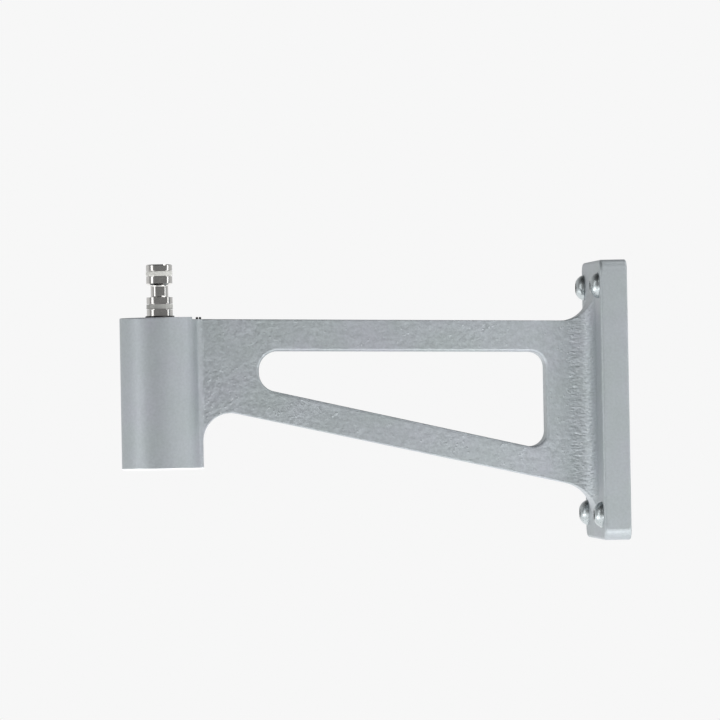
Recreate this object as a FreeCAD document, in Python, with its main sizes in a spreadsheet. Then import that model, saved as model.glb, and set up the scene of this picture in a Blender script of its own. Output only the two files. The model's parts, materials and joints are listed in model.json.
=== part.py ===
import FreeCAD, Part
import math
import os
import Sketcher
from FreeCAD import Placement, Rotation, Vector

# Swivel wall bracket: a cast aluminium arm with a wall flange at one end and an upright
# barrel at the other. A waisted spigot stands out of the barrel and turns in two sealed
# ball bearings inside it. Millimetres, +Z up. The origin is the centre of the flange's
# wall face, +X points into the wall, and the arm reaches out along -X.

DIMENSIONS = [
    # wall flange
    ("flange_thick", 14.8), ("flange_high", 151.5), ("flange_wide", 86.0),
    ("flange_corner", 6.2), ("flange_round", 1.6), ("back_round", 1.0),
    ("screw_pitch_high", 124.0), ("screw_pitch_wide", 67.0), ("screw_hole", 4.5),
    # arm web: heights of its edges where it leaves the barrel and where it meets the flange
    ("web_thick", 17.5), ("web_round", 0.6), ("window_round", 1.5), ("flange_flare", 11.5),
    ("barrel_flare", 5.0), ("flare_sink", 0.1), ("side_sink", 0.35), ("barrel_step", 16.8),
    ("arm_top_outer", 47.9), ("arm_top_inner", 43.3),
    ("arm_low_outer", 0.4), ("arm_low_inner", -48.7),
    ("top_fillet", 17.5), ("low_fillet", 20.0), ("throat_fillet", 15.1),
    # triangular window in the web
    ("window_outer", 197.75), ("window_inner", 41.25),
    ("window_top_outer", 29.9), ("window_top_inner", 26.8),
    ("window_low_outer", 9.8), ("window_low_inner", -26.8),
    ("window_outer_round", 10.4), ("window_inner_round", 8.5),
    # barrel and the bore inside it
    ("reach", 250.6), ("barrel_radius", 22.0), ("barrel_top", 49.0), ("barrel_foot", -33.5),
    ("rim_round", 0.6), ("foot_round", 1.0), ("fit_gap", 0.03),
    ("bore_top", 41.0), ("relief_top", 42.9), ("relief_radius", 11.5), ("mouth_radius", 8.6),
    ("seal_seat_radius", 11.0), ("seal_seat_floor", 45.5),
    # 15 x 35 x 11 ball bearings
    ("race_inside", 7.5), ("race_outside", 17.5), ("race_wide", 11.0),
    ("inner_shoulder", 10.4), ("outer_shoulder", 14.6),
    ("ball_radius", 2.976), ("ball_pitch_radius", 12.5), ("groove_radius", 3.1),
    ("ball_gap", 0.03), ("pocket_radius", 3.05), ("cage_half_thick", 0.6),
    ("cage_wide", 7.0), ("shield_thick", 0.4), ("shield_inset", 0.4), ("race_edge", 0.5),
    ("upper_bearing_mid", 35.5), ("lower_bearing_mid", -15.0),
    # spindle
    ("spigot_top", 77.9), ("spigot_radius", 7.1), ("spigot_chamfer", 0.5),
    ("waist_radius", 4.75), ("waist_top", 66.8), ("waist_foot", 60.1), ("waist_fillet", 0.8),
    ("shoulder_chamfer", 0.8),
    ("ring_groove_radius", 5.9), ("ring_radius", 7.2), ("ring_high", 2.6), ("ring_side_gap", 0.3),
    ("upper_ring_mid", 72.95), ("lower_ring_mid", 55.0), ("ring_slit", 0.9), ("ring_edge", 0.35),
    ("journal_top", 50.1), ("journal_radius", 7.42), ("collar_radius", 9.5), ("collar_top", 42.5),
    ("spindle_foot", -28.0), ("keyway_wide", 4.0), ("keyway_depth", 1.6),
    # pieces around the spindle
    ("inner_spacer_radius", 9.4), ("outer_spacer_inside", 15.6), ("spacer_gap", 0.02),
    ("seal_top", 49.0), ("seal_lip_radius", 7.46), ("seal_lip_outside", 7.75), ("seal_lip_top", 50.0),
    ("seal_lip_high", 0.8), ("seal_body_inside", 8.4),
    ("clip_groove_radius", 18.5), ("clip_groove_wide", 1.6), ("clip_thick", 1.5),
    ("clip_inside", 15.4), ("clip_slot", 11.0), ("clip_ear", 2.4), ("clip_eye", 0.9),
    ("washer_radius", 12.5), ("washer_thick", 1.0),
    ("nut_radius", 12.5), ("nut_high", 5.0), ("nut_slot_wide", 4.0), ("nut_slot_depth", 2.0),
    ("cap_radius", 17.45), ("cap_bottom", -33.0), ("cap_thick", 2.5), ("cap_skirt_top", -28.4),
    ("cap_skirt_inside", 15.6), ("cap_dish_radius", 11.0), ("cap_dish_depth", 1.0),
    # M8 button-head flange screws and the slotted M3 stop screw
    ("head_radius", 7.0), ("head_high", 4.4), ("head_rim", 0.5), ("head_flat", 3.4), ("head_dome", 6.6),
    ("shank_radius", 4.0), ("shank_long", 14.6), ("hex_across", 5.0), ("hex_deep", 2.6),
    ("stop_radius", 1.5), ("stop_reach", 20.95), ("stop_top", 49.05), ("stop_foot", 42.6),
    ("stop_slot_wide", 0.6), ("stop_slot_deep", 0.9), ("stop_edge", 0.25),
]
BALL_COUNT = 8

doc = FreeCAD.newDocument("swivel_bracket")
sheet = doc.addObject("Spreadsheet::Sheet", "Dims")
for row, (alias, value) in enumerate(DIMENSIONS, start=1):
    sheet.set(f"A{row}", alias)
    sheet.set(f"B{row}", str(value))
    sheet.setAlias(f"B{row}", alias)
doc.recompute()

SIZES = dict(DIMENSIONS)
SUBPARTS = []


def formula(text):
    """Turn a formula written with plain dimension names into one that reads the sheet."""
    words = []
    for word in text.split():
        stripped = word.strip("()")
        if stripped in SIZES:
            word = word.replace(stripped, f"Dims.{stripped}")
        words.append(word)
    return " ".join(words)


def value_of(text):
    """The number that a formula gives for the sheet's present values."""
    result = sheet.evalExpression(formula(text))
    return float(getattr(result, "Value", result))


def bind(target, prop, text):
    target.setExpression(prop, formula(text))


def new_body(label, x="0", y="0", z="0", own_node=True):
    """A body with its own label, placed by formulas."""
    body = doc.addObject("PartDesign::Body", label)
    body.Label = label
    bind(body, "Placement.Base.x", x)
    bind(body, "Placement.Base.y", y)
    bind(body, "Placement.Base.z", z)
    if own_node:
        SUBPARTS.append(body)
    return body


def group_of(label, pieces):
    """Identical loose pieces kept together as one compound of separate solids."""
    group = doc.addObject("Part::Compound", label)
    group.Label = label
    group.Links = pieces
    SUBPARTS.append(group)


def new_sketch(body, plane, name, shift_x="0", lift="0"):
    """A sketch on one of the body's own origin planes, moved along its first axis or its normal."""
    sketch = body.newObject("Sketcher::SketchObject", name)
    flat = [item for item in body.Origin.OriginFeatures if item.Role == plane][0]
    sketch.AttachmentSupport = [(flat, "")]
    sketch.MapMode = "FlatFace"
    bind(sketch, "AttachmentOffset.Base.x", shift_x)
    bind(sketch, "AttachmentOffset.Base.z", lift)
    return sketch


def pin_point(sketch, geometry, end, across, up):
    """Fix one point of the sketch at two formulas measured from the sketch's origin."""
    for kind, text in (("DistanceX", across), ("DistanceY", up)):
        index = sketch.addConstraint(
            Sketcher.Constraint(kind, -1, 1, geometry, end, value_of(text)))
        sketch.setExpression(f"Constraints[{index}]", formula(text))


def corner_arc(before, corner, after, radius):
    """Start, middle and end of the arc that rounds a corner."""
    towards_before = (before - corner).normalize()
    towards_after = (after - corner).normalize()
    half_angle = towards_before.getAngle(towards_after) / 2
    setback = radius / math.tan(half_angle)
    bisector = (towards_before + towards_after).normalize()
    centre = corner + bisector * (radius / math.sin(half_angle))
    return (corner + towards_before * setback,
            centre - bisector * radius,
            corner + towards_after * setback)


def outline(sketch, corners):
    """A closed outline through corners (across, up[, radius]), all of them formulas.

    A corner with a radius is rounded by a tangent arc; a construction point keeps its place.
    """
    places = [Vector(value_of(c[0]), value_of(c[1]), 0) for c in corners]
    count = len(corners)
    ends = []
    for i, corner in enumerate(corners):
        if len(corner) == 3:
            ends.append(corner_arc(places[i - 1], places[i], places[(i + 1) % count],
                                   value_of(corner[2])))
        else:
            ends.append((places[i], None, places[i]))
    lines = []
    for i in range(count):
        start, finish = ends[i][2], ends[(i + 1) % count][0]
        lines.append(sketch.addGeometry(Part.LineSegment(start, finish)))
    for i, corner in enumerate(corners):
        arriving, leaving = lines[i - 1], lines[i]
        if len(corner) == 2:
            sketch.addConstraint(Sketcher.Constraint("Coincident", arriving, 2, leaving, 1))
            pin_point(sketch, leaving, 1, corner[0], corner[1])
            continue
        arc = Part.Arc(*ends[i])
        curve = sketch.addGeometry(arc)
        start_end = 1 if sketch.getPoint(curve, 1).isEqual(ends[i][0], 1e-6) else 2
        sketch.addConstraint(Sketcher.Constraint("Tangent", arriving, 2, curve, start_end))
        sketch.addConstraint(Sketcher.Constraint("Tangent", curve, 3 - start_end, leaving, 1))
        index = sketch.addConstraint(Sketcher.Constraint("Radius", curve, value_of(corner[2])))
        sketch.setExpression(f"Constraints[{index}]", formula(corner[2]))
        point = sketch.addGeometry(Part.Point(places[i]), True)
        sketch.addConstraint(Sketcher.Constraint("PointOnObject", point, 1, arriving))
        sketch.addConstraint(Sketcher.Constraint("PointOnObject", point, 1, leaving))
        pin_point(sketch, point, 1, corner[0], corner[1])


def circle(sketch, across, up, radius):
    geometry = sketch.addGeometry(
        Part.Circle(Vector(value_of(across), value_of(up), 0), Vector(0, 0, 1), value_of(radius)))
    index = sketch.addConstraint(Sketcher.Constraint("Radius", geometry, value_of(radius)))
    sketch.setExpression(f"Constraints[{index}]", formula(radius))
    pin_point(sketch, geometry, 3, across, up)


def box_outline(sketch, left, right, low, high):
    outline(sketch, [(left, low), (right, low), (right, high), (left, high)])


def pad(body, sketch, name, length, symmetric=False):
    feature = body.newObject("PartDesign::Pad", name)
    feature.Profile = sketch
    feature.Midplane = symmetric
    bind(feature, "Length", length)
    return feature


def turned(body, sketch, name):
    """A full turn of a profile about the sketch's vertical axis."""
    feature = body.newObject("PartDesign::Revolution", name)
    feature.Profile = sketch
    feature.ReferenceAxis = (sketch, ["V_Axis"])
    feature.Angle = 360
    return feature


def turned_cut(body, sketch, name):
    feature = body.newObject("PartDesign::Groove", name)
    feature.Profile = sketch
    feature.ReferenceAxis = (sketch, ["V_Axis"])
    feature.Angle = 360
    return checked_cut(body, feature)


def cut(body, sketch, name, length, symmetric=True, reverse=False):
    feature = body.newObject("PartDesign::Pocket", name)
    feature.Profile = sketch
    feature.Midplane = symmetric
    feature.Reversed = reverse
    bind(feature, "Length", length)
    return checked_cut(body, feature)


def checked_cut(body, feature):
    """Recompute and stop if the cut took nothing away."""
    doc.recompute()
    if not feature.Shape.Volume < feature.BaseFeature.Shape.Volume - 1e-3:
        raise RuntimeError(f"{feature.Name} in {body.Label} cuts nothing")
    return feature


def edges_where(shape, test):
    """Names of the edges whose every sampled point passes the test."""
    names = []
    for index, edge in enumerate(shape.Edges, start=1):
        if edge.Length < 1e-3:
            continue
        points = [edge.valueAt(edge.FirstParameter + part * (edge.LastParameter - edge.FirstParameter))
                  for part in (0.02, 0.25, 0.5, 0.75, 0.98)]
        if all(test(point) for point in points):
            names.append(f"Edge{index}")
    return names


def rounding(body, name, radius, test):
    """Round the chosen edges of the body as it stands."""
    doc.recompute()
    base = body.Tip
    feature = body.newObject("PartDesign::Fillet", name)
    feature.Base = (base, edges_where(base.Shape, test))
    bind(feature, "Radius", radius)
    doc.recompute()
    return feature


def near(number, target, slack=1e-3):
    return abs(number - target) < slack


# ---------------------------------------------------------------- casting

AXIS = "0 - reach"
FRONT = "0 - flange_thick"
FLANK = "barrel_radius - reach"
HALF_WEB = "web_thick / 2"


def casting_plan(body):
    """The arm seen from above: web strip whose flared root sinks into the flange, and barrel."""
    web = new_sketch(body, "XY_Plane", "plan_of_web")
    root, deep = f"{FRONT} + flare_sink", "0 - flange_thick / 2"
    reach = f"( {HALF_WEB} + flange_flare + 2 )"
    outline(web, [
        (AXIS, f"0 - {HALF_WEB}"), (root, f"0 - {HALF_WEB}", "flange_flare"),
        (root, f"0 - {reach}"), (deep, f"0 - {reach}"), (deep, reach), (root, reach),
        (root, HALF_WEB, "flange_flare"), (AXIS, HALF_WEB)])
    pad(body, web, "web", "flange_high - 4 * flange_round", symmetric=True)
    ring = new_sketch(body, "XY_Plane", "plan_of_barrel")
    circle(ring, AXIS, "0", "barrel_radius")
    pad(body, ring, "barrel_column", "flange_high", symmetric=True)
    half = value_of(HALF_WEB)
    rounding(body, "barrel_flares", "barrel_flare",
             lambda p: near(abs(p.y), half) and p.x < value_of(FLANK))


def casting_side(body):
    """The arm seen from the side: what lies above, below and inside the window goes."""
    beyond = "0 - reach - 2 * barrel_radius"
    wall = f"{FRONT} + side_sink"
    top, foot = "flange_high", "0 - flange_high"
    step = "barrel_step - reach"
    above = new_sketch(body, "XZ_Plane", "space_above_the_arm")
    outline(above, [
        (beyond, "barrel_top"), (step, "barrel_top"), (step, "arm_top_outer"),
        (wall, "arm_top_inner", "top_fillet"), (wall, top), (beyond, top)])
    cut(body, above, "above_the_arm", "2 * flange_wide")
    below = new_sketch(body, "XZ_Plane", "space_below_the_arm")
    outline(below, [
        (beyond, "barrel_foot"), (FLANK, "barrel_foot"), (FLANK, "arm_low_outer", "throat_fillet"),
        (wall, "arm_low_inner", "low_fillet"), (wall, foot), (beyond, foot)])
    cut(body, below, "below_the_arm", "2 * flange_wide")
    window = new_sketch(body, "XZ_Plane", "window_outline")
    outline(window, [
        ("0 - window_outer", "window_top_outer", "window_outer_round"),
        ("0 - window_inner", "window_top_inner", "window_inner_round"),
        ("0 - window_inner", "window_low_inner", "window_inner_round"),
        ("0 - window_outer", "window_low_outer", "window_outer_round")])
    cut(body, window, "window", "2 * flange_wide")


def casting_edges(body):
    """Rounded cast edges of the web and the barrel."""
    front, flank = value_of(FRONT), value_of(FLANK)
    half_web, flare = value_of(HALF_WEB), value_of("flange_flare")
    axis, step = value_of(AXIS), value_of("barrel_step")
    slope = (value_of("arm_low_inner") - value_of("arm_low_outer")) / (front - flank)

    def in_window(p):
        """Well inside the arm's outline, where the only edges are the window's."""
        lower_edge = value_of("arm_low_outer") + slope * (p.x - flank)
        inside = value_of("window_outer"), value_of("window_inner")
        return (-inside[0] - 1 < p.x < -inside[1] + 1
                and lower_edge + 8 < p.z < value_of("window_top_outer") + 1)

    rounding(body, "window_edges", "window_round",
             lambda p: near(abs(p.y), half_web) and in_window(p))
    rounding(body, "web_edges", "web_round",
             lambda p: (near(abs(p.y), half_web) and flank + 3 < p.x < front - flare + 0.5
                        and not in_window(p)))
    rounding(body, "barrel_rim", "rim_round",
             lambda p: near(p.z, value_of("barrel_top")) and p.x < axis + step - 0.01)
    rounding(body, "barrel_foot_edge", "foot_round",
             lambda p: near(p.z, value_of("barrel_foot")))


def casting_flange(body):
    """Wall flange with rounded corners and edges."""
    plate = new_sketch(body, "XY_Plane", "plan_of_flange")
    box_outline(plate, FRONT, "0", "0 - flange_wide / 2", "flange_wide / 2")
    pad(body, plate, "flange_plate", "flange_high", symmetric=True)
    front, corner = value_of(FRONT), value_of("flange_corner")
    side, end = value_of("flange_wide / 2"), value_of("flange_high / 2")
    rounding(body, "flange_corners", "flange_corner",
             lambda p: near(abs(p.y), side) and near(abs(p.z), end))
    rounding(body, "wall_face_edges", "back_round", lambda p: near(p.x, 0))
    rounding(body, "flange_front_edges", "flange_round",
             lambda p: near(p.x, front) and (abs(p.y) > side - corner or abs(p.z) > end - corner))


def casting_bore(body):
    """Bearing bore, snap-ring groove, collar relief, mouth and seal seat, all on the barrel's axis."""
    sketch = new_sketch(body, "XZ_Plane", "bore_profile", shift_x=AXIS)
    bore = "race_outside + 2 * fit_gap"
    clip_top = "lower_bearing_mid - race_wide / 2"
    clip_foot = f"{clip_top} - clip_groove_wide"
    above, below = "barrel_top + 5", "barrel_foot - 5"
    outline(sketch, [
        ("0", below), (bore, below), (bore, clip_foot), ("clip_groove_radius", clip_foot),
        ("clip_groove_radius", clip_top), (bore, clip_top), (bore, "bore_top"),
        ("relief_radius", "bore_top"), ("relief_radius", "relief_top"),
        ("mouth_radius", "relief_top"), ("mouth_radius", "seal_seat_floor"),
        ("seal_seat_radius + fit_gap", "seal_seat_floor"), ("seal_seat_radius + fit_gap", above),
        ("0", above)])
    turned_cut(body, sketch, "bearing_bore")


def casting_holes(body):
    """Four screw holes through the flange and the stop screw's hole beside the barrel."""
    holes = new_sketch(body, "YZ_Plane", "screw_hole_centres")
    for across in ("screw_pitch_wide / 2", "0 - screw_pitch_wide / 2"):
        for up in ("screw_pitch_high / 2", "0 - screw_pitch_high / 2"):
            circle(holes, across, up, "screw_hole")
    cut(body, holes, "screw_holes", "4 * flange_thick")
    stop = new_sketch(body, "XY_Plane", "stop_screw_hole_centre", lift="stop_foot")
    circle(stop, "stop_reach - reach", "0", "stop_radius + fit_gap")
    cut(body, stop, "stop_screw_hole", "2 * stop_radius + barrel_top - stop_foot",
        symmetric=False, reverse=True)


def make_casting():
    body = new_body("bracket_casting")
    casting_plan(body)
    casting_side(body)
    casting_edges(body)
    casting_flange(body)
    casting_bore(body)
    casting_holes(body)


# ---------------------------------------------------------------- spindle and its rings

def make_spindle():
    """Stainless spindle: waisted spigot above, seal journal and collar, bearing journal below."""
    body = new_body("spindle", x=AXIS)
    sketch = new_sketch(body, "XZ_Plane", "spindle_profile")
    shaft = "race_inside - spacer_gap"
    profile = [("0", "spigot_top"), ("spigot_radius - spigot_chamfer", "spigot_top"),
               ("spigot_radius", "spigot_top - spigot_chamfer")]
    profile += ring_groove("upper_ring_mid")
    profile += [("spigot_radius", "waist_top + shoulder_chamfer"),
                ("spigot_radius - shoulder_chamfer", "waist_top"),
                ("waist_radius", "waist_top", "waist_fillet"),
                ("waist_radius", "waist_foot", "waist_fillet"),
                ("spigot_radius", "waist_foot")]
    profile += ring_groove("lower_ring_mid")
    profile += [("spigot_radius", "journal_top"), ("journal_radius", "journal_top"),
                ("journal_radius", "collar_top"), ("collar_radius", "collar_top"),
                ("collar_radius", "bore_top"), (shaft, "bore_top"),
                (shaft, "spindle_foot + spigot_chamfer"),
                (f"{shaft} - spigot_chamfer", "spindle_foot"), ("0", "spindle_foot")]
    outline(sketch, profile)
    turned(body, sketch, "turned_spindle")
    keyway = new_sketch(body, "XY_Plane", "keyway_outline", lift="spindle_foot - 1")
    box_outline(keyway, "race_inside - keyway_depth", "race_inside + 1",
                "0 - keyway_wide / 2", "keyway_wide / 2")
    cut(body, keyway, "lock_washer_keyway", "lower_bearing_mid - race_wide / 2 - spindle_foot + 1",
        symmetric=False, reverse=True)


def ring_groove(middle):
    """The four corners of a ring's groove, from its upper edge down."""
    half = "( ring_high / 2 + ring_side_gap )"
    return [("spigot_radius", f"{middle} + {half}"), ("ring_groove_radius", f"{middle} + {half}"),
            ("ring_groove_radius", f"{middle} - {half}"), ("spigot_radius", f"{middle} - {half}")]


def make_spigot_ring(label, middle):
    """Split plastic ring that snaps into a groove of the spigot."""
    body = new_body(label, x=AXIS, z=middle)
    sketch = new_sketch(body, "XZ_Plane", f"{label}_profile")
    inside, half = "ring_groove_radius + fit_gap", "ring_high / 2"
    outline(sketch, [
        (inside, f"0 - {half}"), ("ring_radius", f"0 - {half}", "ring_edge"),
        ("ring_radius", half, "ring_edge"), (inside, half)])
    turned(body, sketch, f"{label}_band")
    slit = new_sketch(body, "XY_Plane", f"{label}_slit_outline")
    box_outline(slit, "0 - ring_slit / 2", "ring_slit / 2", "ring_groove_radius - 1", "ring_radius + 1")
    cut(body, slit, f"{label}_slit", "2 * ring_high")


# ---------------------------------------------------------------- bearings

def race_profile(wall, shoulder, groove_centre, sign):
    """Cross-section corners of a race and the radius formula of its ball groove."""
    half, edge = "race_wide / 2", "race_edge"
    return [(wall, f"0 - {half} + {edge}"), (f"{wall} {sign} {edge}", f"0 - {half}"),
            (shoulder, f"0 - {half}"), (shoulder, half),
            (f"{wall} {sign} {edge}", half), (wall, f"{half} - {edge}")], groove_centre


def make_race(label, middle, wall, shoulder, sign, groove_centre):
    """One bearing race, with the ball groove turned into its shoulder face."""
    body = new_body(label, x=AXIS, z=middle)
    corners, centre = race_profile(wall, shoulder, groove_centre, sign)
    sketch = new_sketch(body, "XZ_Plane", f"{label}_profile")
    outline(sketch, corners)
    turned(body, sketch, f"{label}_ring")
    groove = new_sketch(body, "XZ_Plane", f"{label}_groove_profile")
    circle(groove, centre, "0", "groove_radius")
    turned_cut(body, groove, f"{label}_groove")


def make_balls(label, middle):
    """The set of balls of one bearing, as separate spheres in one compound."""
    balls = []
    for number in range(BALL_COUNT):
        ball = doc.addObject("Part::Sphere", f"{label}_{number + 1}")
        bind(ball, "Radius", "ball_radius")
        angle = 360 * number / BALL_COUNT
        bind(ball, "Placement.Base.x", f"0 - reach + ball_pitch_radius * cos( {angle} deg )")
        bind(ball, "Placement.Base.y", f"ball_pitch_radius * sin( {angle} deg )")
        bind(ball, "Placement.Base.z", middle)
        balls.append(ball)
    group_of(label, balls)


def make_cage(label, middle):
    """Snap-in cage: a band with one round pocket for each ball."""
    body = new_body(label, x=AXIS, z=middle)
    sketch = new_sketch(body, "XZ_Plane", f"{label}_profile")
    box_outline(sketch, "ball_pitch_radius - cage_half_thick", "ball_pitch_radius + cage_half_thick",
                "0 - cage_wide / 2", "cage_wide / 2")
    turned(body, sketch, f"{label}_band")
    pocket = new_sketch(body, "YZ_Plane", f"{label}_pocket_outline")
    circle(pocket, "0", "0", "pocket_radius")
    hole = body.newObject("PartDesign::Pocket", f"{label}_pocket")
    hole.Profile = pocket
    hole.Reversed = True
    bind(hole, "Length", "race_outside")
    checked_cut(body, hole)
    ring = body.newObject("PartDesign::PolarPattern", f"{label}_pockets")
    ring.Originals = [hole]
    ring.Axis = (sketch, ["V_Axis"])
    ring.Angle = 360
    ring.Occurrences = BALL_COUNT
    body.Tip = ring


def make_shields(label, middle):
    """The two thin shields that close one bearing, in one compound."""
    discs = []
    for side, name in (("-", "lower"), ("+", "upper")):
        outer = doc.addObject("Part::Cylinder", f"{label}_{name}_disc")
        bind(outer, "Radius", "outer_shoulder - fit_gap")
        hole = doc.addObject("Part::Cylinder", f"{label}_{name}_hole")
        bind(hole, "Radius", "inner_shoulder + 5 * fit_gap")
        base = f"{middle} - race_wide / 2 + shield_inset"
        if side == "+":
            base = f"{middle} + race_wide / 2 - shield_inset - shield_thick"
        for piece in (outer, hole):
            bind(piece, "Height", "shield_thick")
            bind(piece, "Placement.Base.x", AXIS)
            bind(piece, "Placement.Base.z", base)
        disc = doc.addObject("Part::Cut", f"{label}_{name}")
        disc.Base = outer
        disc.Tool = hole
        discs.append(disc)
    group_of(label, discs)


def make_bearing(name, middle):
    make_race(f"{name}_outer_race", middle, "race_outside", "outer_shoulder", "-",
              "ball_pitch_radius + ball_radius + ball_gap - groove_radius")
    make_race(f"{name}_inner_race", middle, "race_inside", "inner_shoulder", "+",
              "ball_pitch_radius - ball_radius - ball_gap + groove_radius")
    make_balls(f"{name}_balls", middle)
    make_cage(f"{name}_cage", middle)
    make_shields(f"{name}_shields", middle)


def make_tube(label, inside, outside):
    """Plain spacer tube that fills the length between the two bearings."""
    body = new_body(label, x=AXIS)
    sketch = new_sketch(body, "XZ_Plane", f"{label}_profile")
    box_outline(sketch, inside, outside,
                "lower_bearing_mid + race_wide / 2", "upper_bearing_mid - race_wide / 2")
    turned(body, sketch, f"{label}_tube")


# ---------------------------------------------------------------- closing and locking pieces

def make_seal():
    """Rubber ring in the barrel's mouth, its lip just clear of the turning journal."""
    body = new_body("shaft_seal", x=AXIS)
    sketch = new_sketch(body, "XZ_Plane", "seal_profile")
    outline(sketch, [
        ("seal_body_inside", "seal_seat_floor"), ("seal_seat_radius", "seal_seat_floor"),
        ("seal_seat_radius", "seal_top - spigot_chamfer"),
        ("seal_seat_radius - spigot_chamfer", "seal_top"),
        ("seal_lip_outside + seal_lip_high / 2", "seal_top"), ("seal_lip_outside", "seal_lip_top"),
        ("seal_lip_radius", "seal_lip_top"), ("seal_lip_radius", "seal_top"),
        ("seal_body_inside", "seal_top - seal_lip_high")])
    turned(body, sketch, "seal_ring")


def make_clip():
    """Internal snap ring under the lower bearing, with an eye in each ear for the pliers."""
    foot = "lower_bearing_mid - race_wide / 2 - clip_thick"
    body = new_body("snap_ring", x=AXIS, z=foot)
    ring = new_sketch(body, "XY_Plane", "snap_ring_outline")
    circle(ring, "0", "0", "clip_groove_radius - 2 * fit_gap")
    circle(ring, "0", "0", "clip_inside")
    pad(body, ring, "snap_ring_band", "clip_thick")
    gap = new_sketch(body, "XY_Plane", "snap_ring_gap_outline")
    box_outline(gap, "0 - clip_slot / 2", "clip_slot / 2", "0 - clip_groove_radius - 1", "0")
    cut(body, gap, "snap_ring_gap", "4 * clip_thick")
    for side, name in (("-", "left"), ("+", "right")):
        ear = new_sketch(body, "XY_Plane", f"{name}_ear_outline")
        across = f"0 {side} ( clip_slot / 2 + clip_ear / 2 )"
        circle(ear, across, "0 - clip_inside + clip_ear / 4", "clip_ear / 2")
        pad(body, ear, f"{name}_ear", "clip_thick")
        eye = new_sketch(body, "XY_Plane", f"{name}_eye_outline")
        circle(eye, across, "0 - clip_inside + clip_ear / 4 - 0.2", "clip_eye / 2")
        cut(body, eye, f"{name}_eye", "4 * clip_thick")


def make_lock_washer():
    """Tab washer between the lower inner race and the nut; its tab sits in the keyway."""
    foot = "lower_bearing_mid - race_wide / 2 - washer_thick"
    body = new_body("lock_washer", x=AXIS, z=foot)
    disc = new_sketch(body, "XY_Plane", "washer_outline")
    circle(disc, "0", "0", "washer_radius")
    circle(disc, "0", "0", "race_inside + fit_gap")
    pad(body, disc, "washer_disc", "washer_thick")
    tab = new_sketch(body, "XY_Plane", "washer_tab_outline")
    box_outline(tab, "race_inside - keyway_depth + 4 * fit_gap", "race_inside + 1",
                "0 - keyway_wide / 2 + 4 * fit_gap", "keyway_wide / 2 - 4 * fit_gap")
    pad(body, tab, "washer_tab", "washer_thick")


def make_lock_nut():
    """Round slotted nut that clamps the inner races against the spindle's collar."""
    foot = "lower_bearing_mid - race_wide / 2 - washer_thick - nut_high"
    body = new_body("lock_nut", x=AXIS, z=foot)
    sketch = new_sketch(body, "XZ_Plane", "nut_profile")
    inside, edge = "race_inside + fit_gap", "spigot_chamfer"
    outline(sketch, [
        (inside, "0"), (f"nut_radius - {edge}", "0"), ("nut_radius", edge),
        ("nut_radius", f"nut_high - {edge}"), (f"nut_radius - {edge}", "nut_high"),
        (inside, "nut_high")])
    turned(body, sketch, "nut_blank")
    slots = new_sketch(body, "XY_Plane", "nut_slot_outlines")
    deep, half = "nut_radius - nut_slot_depth", "nut_slot_wide / 2"
    box_outline(slots, deep, "nut_radius + 1", f"0 - {half}", half)
    box_outline(slots, "0 - nut_radius - 1", f"0 - {deep}", f"0 - {half}", half)
    box_outline(slots, f"0 - {half}", half, deep, "nut_radius + 1")
    box_outline(slots, f"0 - {half}", half, "0 - nut_radius - 1", f"0 - {deep}")
    cut(body, slots, "spanner_slots", "4 * nut_high")


def make_cap():
    """Moulded plug that closes the barrel's foot."""
    body = new_body("barrel_cap", x=AXIS)
    sketch = new_sketch(body, "XZ_Plane", "cap_profile")
    floor_top = "cap_bottom + cap_thick"
    outline(sketch, [
        ("0", "cap_bottom + cap_dish_depth"), ("cap_dish_radius", "cap_bottom + cap_dish_depth"),
        ("cap_dish_radius + cap_dish_depth", "cap_bottom"),
        ("cap_radius - spigot_chamfer", "cap_bottom"), ("cap_radius", "cap_bottom + spigot_chamfer"),
        ("cap_radius", "cap_skirt_top"), ("cap_skirt_inside", "cap_skirt_top"),
        ("cap_skirt_inside", floor_top), ("0", floor_top)])
    turned(body, sketch, "cap_moulding")


# ---------------------------------------------------------------- screws

def make_flange_screw(label, side, height):
    """M8 button-head screw; its head faces the arm and its shank ends flush with the wall face."""
    body = new_body(label, x=FRONT, y=f"{side} * screw_pitch_wide / 2",
                    z=f"{height} * screw_pitch_high / 2", own_node=False)
    body.Placement = Placement(body.Placement.Base, Rotation(Vector(0, 1, 0), 90))
    sketch = new_sketch(body, "XZ_Plane", f"{label}_profile")
    screw_profile(sketch)
    turned(body, sketch, f"{label}_blank")
    socket = new_sketch(body, "XY_Plane", f"{label}_socket_outline", lift="0 - head_high")
    point, flat, half = "hex_across / sqrt(3)", "hex_across / 2", "hex_across / sqrt(12)"
    outline(socket, [
        ("0", point), (f"0 - {flat}", half), (f"0 - {flat}", f"0 - {half}"),
        ("0", f"0 - {point}"), (flat, f"0 - {half}"), (flat, half)])
    cut(body, socket, f"{label}_socket", "hex_deep", symmetric=False, reverse=True)
    return body


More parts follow.
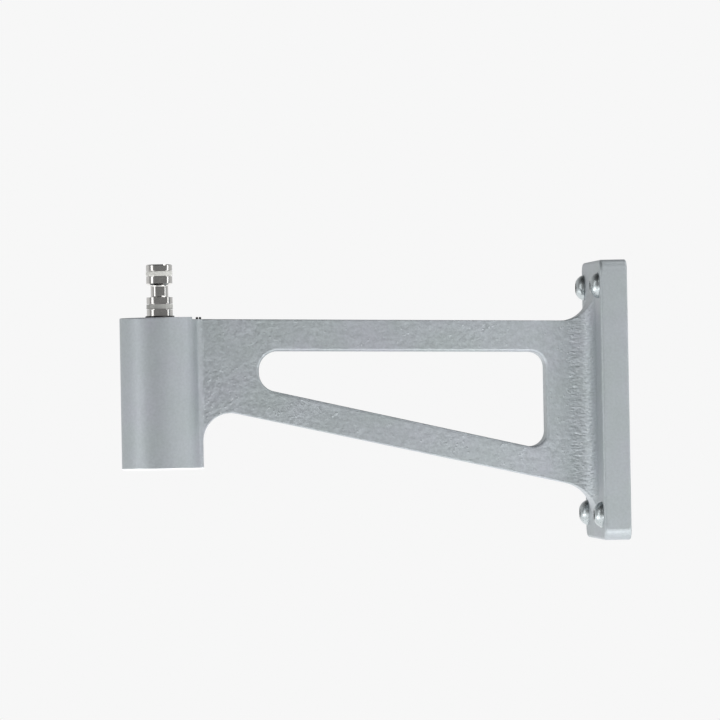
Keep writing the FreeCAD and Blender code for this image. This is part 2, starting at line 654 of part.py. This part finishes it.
def screw_profile(sketch):
    """Half section of the screw about its own axis: shank upwards, domed head below zero."""
    edge = "head_rim"
    corners = [
        ("head_flat", "0 - head_high"), ("0", "0 - head_high"), ("0", "shank_long"),
        (f"shank_radius - {edge}", "shank_long"), ("shank_radius", f"shank_long - {edge}"),
        ("shank_radius", "0"), ("head_radius", "0"), ("head_radius", f"0 - {edge}")]
    places = [Vector(value_of(across), value_of(up), 0) for across, up in corners]
    lines = [sketch.addGeometry(Part.LineSegment(start, finish))
             for start, finish in zip(places, places[1:])]
    for before, after in zip(lines, lines[1:]):
        sketch.addConstraint(Sketcher.Constraint("Coincident", before, 2, after, 1))
    for line, (across, up) in zip(lines, corners):
        pin_point(sketch, line, 1, across, up)
    pin_point(sketch, lines[-1], 2, *corners[-1])
    rim, flat = places[-1], places[0]
    chord = flat - rim
    radius = value_of("head_dome")
    sagitta = radius - math.sqrt(radius ** 2 - (chord.Length / 2) ** 2)
    outward = Vector(-chord.y, chord.x, 0).normalize() * -1
    if outward.x < 0:
        outward = outward * -1
    dome = sketch.addGeometry(Part.Arc(rim, (rim + flat) * 0.5 + outward * sagitta, flat))
    rim_end = 1 if sketch.getPoint(dome, 1).isEqual(rim, 1e-6) else 2
    sketch.addConstraint(Sketcher.Constraint("Coincident", dome, rim_end, lines[-1], 2))
    sketch.addConstraint(Sketcher.Constraint("Coincident", dome, 3 - rim_end, lines[0], 1))
    index = sketch.addConstraint(Sketcher.Constraint("Radius", dome, radius))
    sketch.setExpression(f"Constraints[{index}]", formula("head_dome"))


def make_stop_screw():
    """Slotted set screw standing a little proud beside the barrel's rim."""
    body = new_body("stop_screw", x="stop_reach - reach")
    sketch = new_sketch(body, "XZ_Plane", "stop_screw_profile")
    outline(sketch, [
        ("0", "stop_foot + 2 * fit_gap"), ("stop_radius", "stop_foot + 2 * fit_gap"),
        ("stop_radius", "stop_top - stop_edge"), ("stop_radius - stop_edge", "stop_top"),
        ("0", "stop_top")])
    turned(body, sketch, "stop_screw_blank")
    slot = new_sketch(body, "XZ_Plane", "stop_screw_slot_outline")
    box_outline(slot, "0 - stop_slot_wide / 2", "stop_slot_wide / 2",
                "stop_top - stop_slot_deep", "stop_top + 1")
    cut(body, slot, "stop_screw_slot", "4 * stop_radius")


# ---------------------------------------------------------------- build, check, write

make_casting()
make_spindle()
make_spigot_ring("upper_spigot_ring", "upper_ring_mid")
make_spigot_ring("lower_spigot_ring", "lower_ring_mid")
make_bearing("upper_bearing", "upper_bearing_mid")
make_bearing("lower_bearing", "lower_bearing_mid")
make_tube("inner_spacer", "race_inside", "inner_spacer_radius")
make_tube("outer_spacer", "outer_spacer_inside", "race_outside")
make_seal()
make_clip()
make_lock_washer()
make_lock_nut()
make_cap()
make_stop_screw()
group_of("flange_screws", [
    make_flange_screw(f"{height_name}_{side_name}_screw", side, height)
    for height_name, height in (("top", 1), ("bottom", -1))
    for side_name, side in (("front", -1), ("rear", 1))])
doc.recompute()

for item in doc.Objects:
    if "Invalid" in item.State or "Error" in item.State:
        raise RuntimeError(f"{item.Name} failed: {item.State}")
for part in SUBPARTS:
    if part.Shape.isNull() or not part.Shape.isValid():
        raise RuntimeError(f"{part.Label} has no valid shape")

os.makedirs("parts", exist_ok=True)
for part in SUBPARTS:
    part.Shape.exportStep(f"parts/{part.Label}.step")
    print(f"{part.Label}: {len(part.Shape.Solids)} solid(s), {part.Shape.Volume:.1f} mm3")
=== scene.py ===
import json
import math

import bpy
from mathutils import Matrix, Vector

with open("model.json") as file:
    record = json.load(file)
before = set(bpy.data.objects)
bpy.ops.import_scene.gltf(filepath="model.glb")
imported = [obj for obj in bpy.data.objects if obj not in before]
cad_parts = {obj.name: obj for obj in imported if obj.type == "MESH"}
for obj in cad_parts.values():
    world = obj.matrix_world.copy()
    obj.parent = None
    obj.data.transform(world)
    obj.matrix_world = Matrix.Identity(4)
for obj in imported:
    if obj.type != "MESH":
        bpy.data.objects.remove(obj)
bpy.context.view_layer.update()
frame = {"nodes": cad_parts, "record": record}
nodes = frame["nodes"]

MM = 0.001
# the barrel's axis, radius and foot, and the flange's front face
BARREL_X, BARREL_RADIUS, BARREL_FOOT = -0.2506, 0.0220, -0.0335
BARREL_SIDE = BARREL_X + BARREL_RADIUS
FLANGE_FACE = -0.0148
# the floor's height, and the point that the lamps look at
FLOOR = -0.34
ARM_MIDDLE = Vector((-0.14, 0.0, 0.0))


# ---------------------------------------------------------------- node helpers

class Graph:
    """A node tree whose nodes are added and linked in single calls."""

    def __init__(self, tree):
        self.tree = tree
        self.tree.nodes.clear()

    def add(self, kind, inputs=None, **settings):
        node = self.tree.nodes.new(kind)
        for key, value in settings.items():
            setattr(node, key, value)
        for key, value in (inputs or {}).items():
            self.feed(node.inputs[key], value)
        return node

    def feed(self, socket, value):
        if isinstance(value, bpy.types.NodeSocket):
            self.tree.links.new(value, socket)
        else:
            socket.default_value = value

    def math(self, operation, *values):
        return self.add("ShaderNodeMath", dict(enumerate(values)), operation=operation).outputs[0]

    def remap(self, value, low, high, out_low=0.0, out_high=1.0, smooth=False):
        node = self.add("ShaderNodeMapRange", {
            "Value": value, "From Min": low, "From Max": high,
            "To Min": out_low, "To Max": out_high},
            interpolation_type="SMOOTHSTEP" if smooth else "LINEAR")
        return node.outputs["Result"]

    def ramp(self, value, stops):
        node = self.add("ShaderNodeValToRGB", {"Fac": value})
        ramp = node.color_ramp
        while len(ramp.elements) < len(stops):
            ramp.elements.new(0.5)
        for element, (position, colour) in zip(ramp.elements, stops):
            element.position = position
            element.color = (*colour, 1.0)
        return node.outputs["Color"]

    def blend(self, fac, first, second, mode="MIX"):
        node = self.add("ShaderNodeMix", data_type="RGBA", blend_type=mode)
        for socket, value in ((node.inputs[0], fac), (node.inputs[6], first),
                              (node.inputs[7], second)):
            if isinstance(value, tuple) and len(value) == 3:
                value = (*value, 1.0)
            self.feed(socket, value)
        return node.outputs[2]


class Shader(Graph):
    """A node material with one principled surface, textured in the object's own coordinates."""

    def __init__(self, name):
        self.material = bpy.data.materials.new(name)
        self.material.use_nodes = True
        super().__init__(self.material.node_tree)
        self.surface = self.add("ShaderNodeBsdfPrincipled")
        self.add("ShaderNodeOutputMaterial", {"Surface": self.surface.outputs["BSDF"]})
        self.place = self.add("ShaderNodeTexCoord").outputs["Object"]

    def axes(self):
        return self.add("ShaderNodeSeparateXYZ", {"Vector": self.place}).outputs

    def stretched(self, scale):
        node = self.add("ShaderNodeMapping", {"Vector": self.place, "Scale": scale})
        return node.outputs["Vector"]

    def noise(self, size_mm, detail, rough, vector=None):
        """Noise whose lumps are about size_mm across."""
        return self.add("ShaderNodeTexNoise", {
            "Vector": vector or self.place, "Scale": 1 / (size_mm * MM), "Detail": detail,
            "Roughness": rough}).outputs["Fac"]

    def cells(self, size_mm):
        """Distance to the middle of the nearest of scattered points about size_mm apart."""
        return self.add("ShaderNodeTexVoronoi", {
            "Vector": self.place, "Scale": 1 / (size_mm * MM)}, feature="F1").outputs["Distance"]

    def grey(self, value):
        """A grey colour of that value."""
        return self.add("ShaderNodeCombineXYZ", {"X": value, "Y": value, "Z": value}).outputs[0]

    def bump(self, height, depth_mm, strength=1.0, normal=None):
        node = self.add("ShaderNodeBump", {
            "Height": height, "Strength": strength, "Distance": depth_mm * MM})
        if normal is not None:
            self.feed(node.inputs["Normal"], normal)
        return node.outputs["Normal"]

    def set(self, **values):
        names = {"colour": "Base Color", "metal": "Metallic", "rough": "Roughness",
                 "normal": "Normal", "specular": "Specular IOR Level"}
        for key, value in values.items():
            if isinstance(value, tuple) and len(value) == 3:
                value = (*value, 1.0)
            self.feed(self.surface.inputs[names[key]], value)
        return self.material


# ---------------------------------------------------------------- materials

PAINT_GREEN = (0.383, 0.421, 0.430)
PAINT_MID = (0.396, 0.427, 0.448)
PAINT_BLUE = (0.407, 0.426, 0.461)
PAINT_METAL, PAINT_ROUGH = 0.65, 0.49


def cast_paint():
    """Silver-grey paint over sand-cast aluminium: lumpy on the web, smoother on barrel and flange."""
    s = Shader("cast_paint")
    x, y, z = s.axes()

    def between(low, high, soft):
        """One where low < X < high, fading over soft metres at both ends."""
        rise = s.remap(x, low - soft, low + soft, smooth=True)
        return s.math("MULTIPLY", rise, s.remap(x, high - soft, high + soft, 1.0, 0.0, smooth=True))

    web_start, web_end = BARREL_SIDE - 0.0004, FLANGE_FACE - 0.0002
    on_web = between(web_start, web_end, 0.0012)
    by_flange = between(web_end - 0.0140, web_end, 0.0030)
    by_barrel = s.math("MULTIPLY", between(web_start, web_start + 0.0210, 0.0040),
                       s.remap(z, -0.004, 0.026, 1.0, 0.0, smooth=True))

    def relief(noise, amount):
        """Noise as a height about zero, so that fading it in and out leaves no step."""
        return s.math("MULTIPLY", s.math("SUBTRACT", noise, 0.5), amount)

    # cast skin: a slow wave, flat lumps a few millimetres across, and scattered beads,
    # roughest by the barrel and calmer towards the flange
    wave = s.noise(16.0, 2.0, 0.5)
    lumps = s.noise(2.9, 1.0, 0.45)
    beads = s.remap(s.cells(2.3), 0.05, 0.36, 1.0, 0.0, smooth=True)
    scatter = s.remap(s.noise(6.5, 2.0, 0.6), 0.50, 0.62, 0.12, 0.80, smooth=True)
    scatter = s.math("MAXIMUM", scatter, by_barrel)
    scatter = s.math("MAXIMUM", scatter, s.math("MULTIPLY", by_flange, 0.45))
    patches = s.remap(s.noise(19.0, 2.0, 0.5), 0.40, 0.62, 0.60, 1.0, smooth=True)
    patches = s.math("MULTIPLY", patches, s.remap(x, -0.17, -0.05, 1.0, 0.62))
    skin = s.math("MULTIPLY_ADD", on_web, s.math("MULTIPLY", patches, 0.88), 0.12)
    normal = s.bump(wave, 0.5, 0.35)
    normal = s.bump(relief(lumps, skin), 0.50, 0.60, normal)
    normal = s.bump(s.math("MULTIPLY", s.math("MULTIPLY", beads, scatter), on_web), 0.20, 0.70, normal)
    # short flow ripples across the flared root
    ripples = s.noise(1.0, 1.0, 0.5, vector=s.stretched((0.30, 0.30, 0.75)))
    normal = s.bump(relief(ripples, by_flange), 0.36, 0.80, normal)
    # fine grain everywhere
    grain = s.noise(0.7, 2.0, 0.55)
    normal = s.bump(relief(grain, s.math("MULTIPLY_ADD", skin, 0.6, 0.4)), 0.07, 0.8, normal)

    # greenish and bluish drifts of the silver pigment, fine flecks, and painted light that brightens
    # the web towards the flange
    tone = s.ramp(s.noise(24.0, 3.0, 0.5), [
        (0.30, PAINT_GREEN), (0.52, PAINT_MID), (0.72, PAINT_BLUE)])
    speck = s.remap(s.noise(1.3, 2.0, 0.5), 0.30, 0.72, 0.95, 1.05)
    mottle = s.remap(s.noise(2.6, 1.0, 0.5), 0.33, 0.67, -0.075, 0.065)
    # painted light: the web's colour is made up to 12 % lighter towards the flange, standing in for
    # the brighter light that falls there
    painted_light_by_flange = s.math("MULTIPLY_ADD", s.remap(x, -0.13, -0.03, 0.0, 0.12), on_web, 1.0)
    shade = s.math("MULTIPLY", painted_light_by_flange, s.math("MULTIPLY_ADD", mottle, skin, speck))
    colour = s.blend(1.0, tone, s.grey(shade), "MULTIPLY")
    # painted glints: high spots of the roughest skin made lighter in colour, by the barrel and along
    # the flared root
    painted_glints = s.remap(s.cells(2.0), 0.13, 0.24, 1.0, 0.0, smooth=True)
    glint_zone = s.math("MAXIMUM", s.math("MULTIPLY", by_barrel, 0.9), s.math("MULTIPLY", by_flange, 0.65))
    picked = s.remap(s.noise(3.3, 1.0, 0.5), 0.46, 0.56, smooth=True)
    painted_glints = s.math("MULTIPLY", s.math("MULTIPLY", painted_glints, picked), glint_zone)
    colour = s.blend(painted_glints, colour, (0.72, 0.74, 0.75))

    # the barrel's foot is faced off after painting, which leaves its rim bare
    low = s.remap(z, BARREL_FOOT + 0.0005, BARREL_FOOT + 0.0011, 1.0, 0.0, smooth=True)
    outer = s.remap(x, BARREL_SIDE + 0.0003, BARREL_SIDE + 0.0011, 1.0, 0.0, smooth=True)
    bare = s.math("MULTIPLY", low, outer)
    painted_rough = s.remap(s.noise(3.0, 3.0, 0.6), 0.3, 0.7, PAINT_ROUGH - 0.05, PAINT_ROUGH + 0.05)
    turned_rough = s.remap(s.noise(0.35, 2.0, 0.5), 0.3, 0.7, 0.36, 0.46)
    painted_part = s.math("MULTIPLY", painted_rough, s.math("SUBTRACT", 1.0, bare))
    return s.set(colour=s.blend(bare, colour, (0.88, 0.89, 0.90)),
                 metal=s.remap(bare, 0.0, 1.0, PAINT_METAL, 1.0),
                 rough=s.math("MULTIPLY_ADD", turned_rough, bare, painted_part),
                 normal=normal, specular=0.5)


def turned_metal(name, colour, rough, line_mm, depth_mm):
    """Metal with the fine rings that a lathe leaves round the vertical axis."""
    s = Shader(name)
    rings = s.noise(line_mm, 2.0, 0.6, vector=s.stretched((0.02, 0.02, 1.0)))
    smear = s.grey(s.remap(s.noise(6.0, 2.0, 0.5), 0.3, 0.7, 0.9, 1.05))
    return s.set(colour=s.blend(1.0, colour, smear, "MULTIPLY"), metal=1.0,
                 rough=s.remap(rings, 0.3, 0.7, rough * 0.8, rough * 1.25),
                 normal=s.bump(rings, depth_mm, 0.5))


def plated_steel(name, colour, rough, grain_mm):
    """Plated or blackened fastener steel with a fine satin grain."""
    s = Shader(name)
    grain = s.noise(grain_mm, 3.0, 0.6)
    cloud = s.grey(s.remap(s.noise(3.5, 2.0, 0.5), 0.3, 0.7, 0.86, 1.08))
    return s.set(colour=s.blend(1.0, colour, cloud, "MULTIPLY"), metal=1.0,
                 rough=s.remap(grain, 0.3, 0.7, rough * 0.75, rough * 1.3),
                 normal=s.bump(grain, 0.02, 0.4))


def moulding(name, colour, rough, grain_mm, depth_mm):
    """Moulded plastic or rubber with a fine grain and slight colour clouding."""
    s = Shader(name)
    cloud = s.grey(s.remap(s.noise(4.0, 3.0, 0.5), 0.3, 0.7, 0.9, 1.12))
    grain = s.noise(grain_mm, 2.0, 0.5)
    return s.set(colour=s.blend(1.0, colour, cloud, "MULTIPLY"), metal=0.0,
                 rough=s.remap(grain, 0.3, 0.7, rough * 0.85, rough * 1.15),
                 normal=s.bump(grain, depth_mm, 0.35))


SLOT_MATERIALS = {
    "cast_body": cast_paint(),
    "polished_steel": turned_metal("polished_steel", (0.70, 0.69, 0.67), 0.12, 0.25, 0.01),
    "zinc_steel": plated_steel("zinc_plate", (0.46, 0.50, 0.51), 0.30, 0.5),
    "bearing_steel": turned_metal("ground_steel", (0.60, 0.60, 0.61), 0.22, 0.3, 0.01),
    "blackened_steel": plated_steel("black_oxide", (0.035, 0.035, 0.037), 0.42, 0.6),
    "spacer_aluminium": turned_metal("turned_aluminium", (0.66, 0.67, 0.68), 0.32, 0.4, 0.02),
    "ring_plastic": moulding("natural_nylon", (0.60, 0.60, 0.57), 0.38, 0.4, 0.02),
    "cage_plastic": moulding("cage_nylon", (0.50, 0.36, 0.20), 0.45, 0.5, 0.02),
    "cap_plastic": moulding("black_plastic", (0.030, 0.030, 0.032), 0.48, 0.5, 0.04),
    "seal_rubber": moulding("nitrile_rubber", (0.022, 0.022, 0.023), 0.26, 0.6, 0.02),
}
slot_of = {part["node"]: part["material_slot"] for part in frame["record"]["subparts"]}
for name, node in nodes.items():
    node.data.materials.clear()
    node.data.materials.append(SLOT_MATERIALS[slot_of[name]])


# ---------------------------------------------------------------- floor, light and camera

def make_floor():
    """A round sheet of white paper well below the object."""
    mesh = bpy.data.meshes.new("floor")
    sides, radius = 96, 2.6
    angles = [2 * math.pi * k / sides for k in range(sides)]
    rim = [(radius * math.cos(angle) - 0.13, radius * math.sin(angle), FLOOR) for angle in angles]
    mesh.from_pydata(rim, [], [list(range(sides))])
    floor = bpy.data.objects.new("floor", mesh)
    bpy.context.scene.collection.objects.link(floor)
    s = Shader("floor_paper")
    shade = s.remap(s.noise(60.0, 3.0, 0.5), 0.3, 0.7, 0.86, 0.89)
    floor.data.materials.append(s.set(colour=s.grey(shade), rough=0.9, specular=0.1))


# light coming from all round: degrees to the right of straight in front, and level
ROUND_LIGHT = [(-180, 0.70), (-110, 0.70), (-92, 0.30), (-40, 0.22), (50, 0.22), (76, 0.25),
               (98, 0.62), (180, 0.70)]
TOP_LIGHT = 0.02
BACKDROP = 0.930


def make_world():
    """White studio behind and beside the object, dimmer towards the camera and overhead."""
    world = bpy.data.worlds.new("studio")
    bpy.context.scene.world = world
    world.use_nodes = True
    g = Graph(world.node_tree)
    direction = g.add("ShaderNodeTexCoord").outputs["Generated"]
    x, y, z = g.add("ShaderNodeSeparateXYZ", {"Vector": direction}).outputs
    turn = g.math("ARCTAN2", x, g.math("MULTIPLY", y, -1.0))
    around = g.math("MULTIPLY_ADD", turn, 0.5 / math.pi, 0.5)
    level = g.ramp(around, [(degrees / 360 + 0.5, (grey,) * 3) for degrees, grey in ROUND_LIGHT])
    light = g.blend(g.remap(z, 0.35, 0.95, smooth=True), level, (TOP_LIGHT,) * 3)
    studio = g.add("ShaderNodeBackground", {"Color": light})
    backdrop = g.add("ShaderNodeBackground", {"Color": (BACKDROP, BACKDROP, BACKDROP, 1.0)})
    seen = g.add("ShaderNodeLightPath").outputs["Is Camera Ray"]
    both = g.add("ShaderNodeMixShader", {0: seen, 1: studio.outputs[0], 2: backdrop.outputs[0]})
    g.add("ShaderNodeOutputWorld", {"Surface": both.outputs[0]})


# softboxes 1.5 m from the arm: name, degrees to the right of straight in front, degrees up,
# width, height, radiance
AIR_LIGHTS = [
    ("left", -71, 5, 0.50, 1.60, 1.51), ("right", 79, 5, 0.36, 1.60, 2.24),
    ("right_high", 90, 62, 0.70, 0.70, 4.45)]
# lit patches on the floor, facing up: name, centre X and Y, radiance
FLOOR_LIGHTS = [
    ("floor_left", -0.88, -0.13, 3.60), ("floor_front", -0.14, -0.75, 1.71),
    ("floor_front_right", 0.34, -0.575, 1.98)]


def softbox(name, place, target, width, height, radiance):
    """A rectangular lamp of that radiance which the camera doesn't see."""
    light = bpy.data.lights.new(name, "AREA")
    light.shape = "RECTANGLE"
    light.size, light.size_y = width, height
    light.energy = radiance * math.pi * width * height
    lamp = bpy.data.objects.new(name, light)
    bpy.context.scene.collection.objects.link(lamp)
    lamp.location = place
    lamp.rotation_euler = (Vector(target) - Vector(place)).to_track_quat("-Z", "Y").to_euler()
    lamp.visible_camera = False


def make_lights():
    """Tall softboxes at the sides, lit patches on the floor, and small boxes by the flange."""
    for name, turn, lift, width, height, radiance in AIR_LIGHTS:
        turn, lift = math.radians(turn), math.radians(lift)
        away = Vector((math.sin(turn) * math.cos(lift), -math.cos(turn) * math.cos(lift),
                       math.sin(lift)))
        softbox(name, ARM_MIDDLE + 1.5 * away, ARM_MIDDLE, width, height, radiance)
    for name, x, y, radiance in FLOOR_LIGHTS:
        softbox(name, (x, y, FLOOR + 0.01), (x, y, 1.0), 0.50, 0.50, radiance)
    # small boxes close to the flange, and a wash that lights only the floor
    softbox("flange_high", (0.22, -0.50, 0.42), (0.0, 0.0, 0.0), 0.4, 0.4, 2.21)
    softbox("flange_low", (0.10, -0.30, -0.30), (0.0, 0.0, 0.0), 0.3, 0.3, 1.08)
    softbox("floor_wash", (-0.14, 0.0, -0.15), (-0.14, 0.0, -1.0), 9.0, 9.0, 1.00)


# where the camera stands, and its turn to the right, tilt upwards and roll in degrees
CAMERA_PLACE = (-0.3984, -3.2579, 0.0036)
CAMERA_TURN, CAMERA_LIFT, CAMERA_ROLL = 4.5, 0.36, -1.05


def make_camera():
    """A long lens from far off, a little to the left of square on to the arm."""
    data = bpy.data.cameras.new("camera")
    data.sensor_width, data.lens = 36.0, 300.0
    data.clip_start, data.clip_end = 0.1, 50.0
    camera = bpy.data.objects.new("camera", data)
    bpy.context.scene.collection.objects.link(camera)
    camera.matrix_world = (
        Matrix.Translation(CAMERA_PLACE)
        @ Matrix.Rotation(math.radians(-CAMERA_TURN), 4, "Z")
        @ Matrix.Rotation(math.radians(90.0 + CAMERA_LIFT), 4, "X")
        @ Matrix.Rotation(math.radians(CAMERA_ROLL), 4, "Z"))
    bpy.context.scene.camera = camera


make_floor()
make_world()
make_lights()
make_camera()
bpy.context.scene.view_settings.view_transform = "Standard"
bpy.context.scene.view_settings.look = "None"
